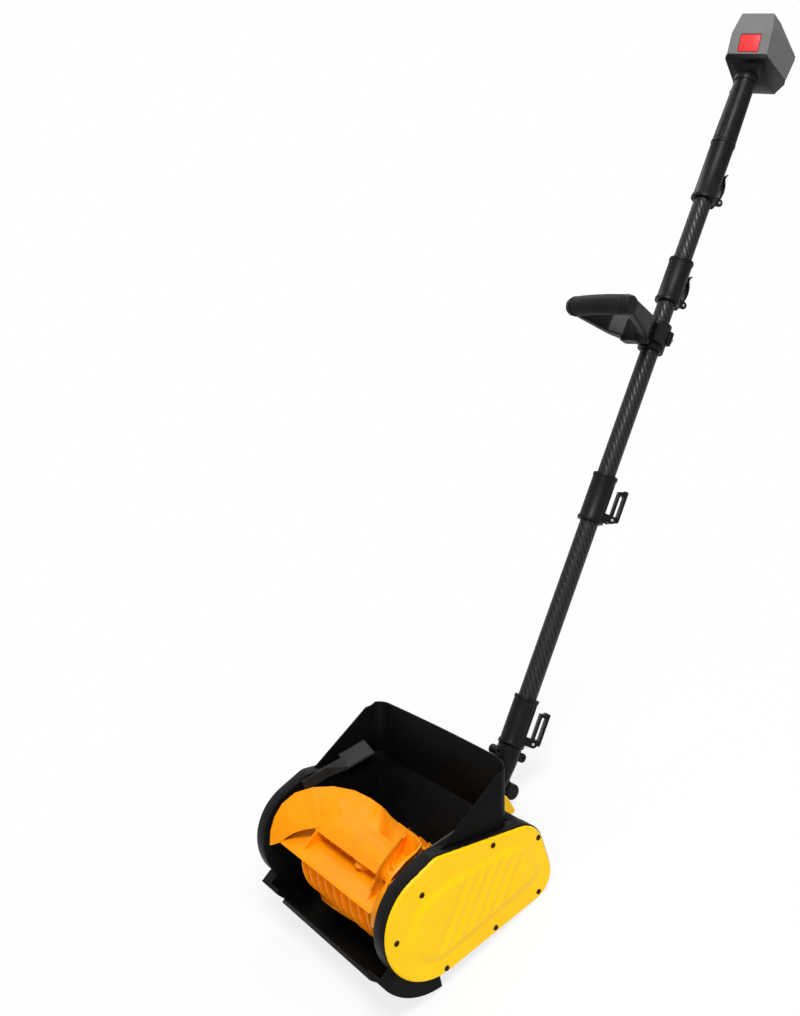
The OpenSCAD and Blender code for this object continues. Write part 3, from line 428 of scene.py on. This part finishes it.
tl.new(lay.outputs["Object"], along.inputs["Vector"])
tl.new(along.outputs["Vector"], split.inputs["Vector"])
tl.new(split.outputs["X"], turn.inputs[0])
tl.new(split.outputs["Y"], turn.inputs[1])
tl.new(turn.outputs["Value"], wind.inputs[0])
tl.new(split.outputs["Z"], climb.inputs[0])
tl.new(wind.outputs["Value"], climb.inputs[2])
tl.new(climb.outputs["Value"], band.inputs[0])
tl.new(split.outputs["Z"], cross.inputs[0])
tl.new(wind.outputs["Value"], cross.inputs[2])
tl.new(cross.outputs["Value"], tow.inputs[0])
tl.new(tow.outputs["Value"], weave.inputs[0])
tl.new(band.outputs["Value"], weave.inputs[2])
tl.new(weave.outputs["Value"], crest.inputs["Value"])
tl.new(crest.outputs["Result"], ink.inputs["Factor"])
tl.new(ink.outputs["Result"], tube_shader.inputs["Base Color"])
tl.new(crest.outputs["Result"], gloss.inputs["Value"])
tl.new(gloss.outputs["Result"], tube_shader.inputs["Roughness"])
tl.new(crest.outputs["Result"], rise.inputs["Height"])
tl.new(rise.outputs["Normal"], tube_shader.inputs["Normal"])
tube_shader.inputs["Specular IOR Level"].default_value = 0.22
for node in ("lower_tube", "middle_tube", "upper_tube"):
    finish_node(node, twill)
joiner_grey = moulded_plastic(
    "joiner grey", (0.02, 0.02, 0.021), (0.035, 0.035, 0.036), 0.5, 0.4,
    fineness=1200.0,
)
finish_node("tube_joiners", joiner_grey)

# Coupling sleeves: satin black mouldings, split along one side so that the
# levers can draw them tight on the tubes.
for node in ("lower_sleeve", "middle_sleeve", "upper_sleeve", "grip_sleeve"):
    eased_copy(node, "pole", joint_black, 0.0007)

# Cam levers: black moulded loops that turn on steel pins between the ears of
# the sleeves and clamp them.
for node in ("lower_lever", "middle_lever", "upper_lever", "grip_lever"):
    eased_copy(node, node + "_arm", joint_black, 0.0008)

# D-handle: two clamp halves bolted round the middle tube carry a moulded loop
# with soft edges, and the bar of the loop wears a foam sleeve.
for node in ("clamp_bracket", "clamp_back"):
    eased_copy(node, "d_handle", joint_black, 0.0010)
soft_moulding("d_frame", "d_handle", joint_black, 0.0009, 10, 0.4)
foam_black = moulded_plastic(
    "foam black", (0.004, 0.004, 0.004), (0.009, 0.009, 0.009), 0.6, 0.12,
    fineness=1100.0, depth=0.5,
)
soft_moulding("foam_grip", "d_handle", foam_black, 0.0009, 16, 0.4)

# The main grip is two black half shells. The trigger turns on its pin between
# them and pushes the switch; the lock button stands out of one side.
for node in ("grip_left", "grip_right"):
    eased_copy(node, "handle", joint_black, 0.0006)
trigger_grey = moulded_plastic("trigger grey", (0.012, 0.012, 0.012), (0.02, 0.02, 0.02), 0.4, 0.2)
eased_copy("trigger", "trigger_arm", trigger_grey, 0.0008)
finish_node("trigger_switch", trigger_grey)
eased_copy("lock_button", "lock", trigger_grey, 0.0008)

# The seat is the black foot that the battery slides on. The battery is a grey
# moulding with soft edges, held by its red catch button.
eased_copy("battery_seat", "handle", joint_black, 0.0020, 3)
contact_brass = steel("contact brass", (0.55, 0.38, 0.12), (0.72, 0.52, 0.2), 0.3)
finish_node("contact_block", contact_brass)
battery_grey = moulded_plastic(
    "battery grey", (0.135, 0.137, 0.132), (0.16, 0.162, 0.157), 0.5, 0.25,
    fineness=800.0, depth=0.05,
)
soft_moulding("battery_case", "battery", battery_grey, 0.0009, 9, 0.3)
button_red = moulded_plastic(
    "button red", (0.60, 0.02, 0.024), (0.72, 0.038, 0.042), 0.34, 0.3,
    fineness=900.0, depth=0.03,
)
eased_copy("battery_button", "battery_catch", button_red, 0.0016, 3)

# Floor, studio world and lamps. Seen directly and in gloss the studio is
# white; the light that falls on the object is kept at a plain level.
world = bpy.data.worlds.new("studio")
scene.world = world
world.use_nodes = True
air, airlinks = world.node_tree.nodes, world.node_tree.links
seen = air.new("ShaderNodeLightPath")
plain = air["Background"]
plain.inputs["Color"].default_value = (0.95, 0.97, 1.0, 1)
plain.inputs["Strength"].default_value = 0.2
white = air.new("ShaderNodeBackground")
white.inputs["Color"].default_value = (1, 1, 1, 1)
white.inputs["Strength"].default_value = 1.0
choose = air.new("ShaderNodeMixShader")
mirrored = air.new("ShaderNodeMath")
mirrored.operation = "MAXIMUM"
through = air.new("ShaderNodeMath")
through.operation = "MAXIMUM"
airlinks.new(seen.outputs["Is Camera Ray"], mirrored.inputs[0])
airlinks.new(seen.outputs["Is Glossy Ray"], mirrored.inputs[1])
airlinks.new(mirrored.outputs["Value"], through.inputs[0])
airlinks.new(seen.outputs["Is Transmission Ray"], through.inputs[1])
airlinks.new(through.outputs["Value"], choose.inputs["Fac"])
airlinks.new(plain.outputs["Background"], choose.inputs[1])
airlinks.new(white.outputs["Background"], choose.inputs[2])
airlinks.new(choose.outputs["Shader"], air["World Output"].inputs["Surface"])

bpy.ops.mesh.primitive_plane_add(size=30.0, location=(0, 0, 0))
floor = bpy.context.object
floor.name = "floor"
floor_white = bpy.data.materials.new("floor white")
floor_white.use_nodes = True
fn, fl = floor_white.node_tree.nodes, floor_white.node_tree.links
fn["Principled BSDF"].inputs["Base Color"].default_value = (0.9, 0.9, 0.9, 1)
fn["Principled BSDF"].inputs["Roughness"].default_value = 0.9
glow = fn.new("ShaderNodeEmission")
glow.inputs["Strength"].default_value = 1.0
path = fn.new("ShaderNodeLightPath")
share = fn.new("ShaderNodeMath")
share.operation = "MULTIPLY"
ground = fn.new("ShaderNodeTexCoord")
reach = fn.new("ShaderNodeVectorMath")
reach.operation = "LENGTH"
fade = fn.new("ShaderNodeMapRange")
fade.inputs["From Min"].default_value = 0.25
fade.inputs["From Max"].default_value = 0.8
fade.inputs["To Min"].default_value = 0.8
fade.inputs["To Max"].default_value = 1.0
fl.new(ground.outputs["Object"], reach.inputs[0])
fl.new(reach.outputs["Value"], fade.inputs["Value"])
fl.new(fade.outputs["Result"], share.inputs[1])
mixed = fn.new("ShaderNodeMixShader")
fl.new(path.outputs["Is Camera Ray"], share.inputs[0])
fl.new(share.outputs["Value"], mixed.inputs["Fac"])
fl.new(fn["Principled BSDF"].outputs["BSDF"], mixed.inputs[1])
fl.new(glow.outputs["Emission"], mixed.inputs[2])
fl.new(mixed.outputs["Shader"], fn["Material Output"].inputs["Surface"])
floor.data.materials.append(floor_white)


def softbox(name, place, aim, size, power):
    """A square studio lamp that looks at a point."""
    lamp = bpy.data.lights.new(name, "AREA")
    lamp.size = size
    lamp.energy = power
    stand = bpy.data.objects.new(name, lamp)
    stand.location = place
    stand.rotation_euler = (Vector(aim) - Vector(place)).to_track_quat("-Z", "Y").to_euler()
    scene.collection.objects.link(stand)


softbox("key", (1.25, 0.35, 2.6), (0.0, 0.2, 0.2), 1.1, 66.0)
softbox("fill", (1.5, -2.0, 1.6), (0.0, 0.2, 0.3), 1.6, 17.0)
softbox("back", (-1.4, 1.8, 2.2), (0.0, 0.6, 0.5), 1.6, 22.0)

scene.view_settings.view_transform = "Standard"
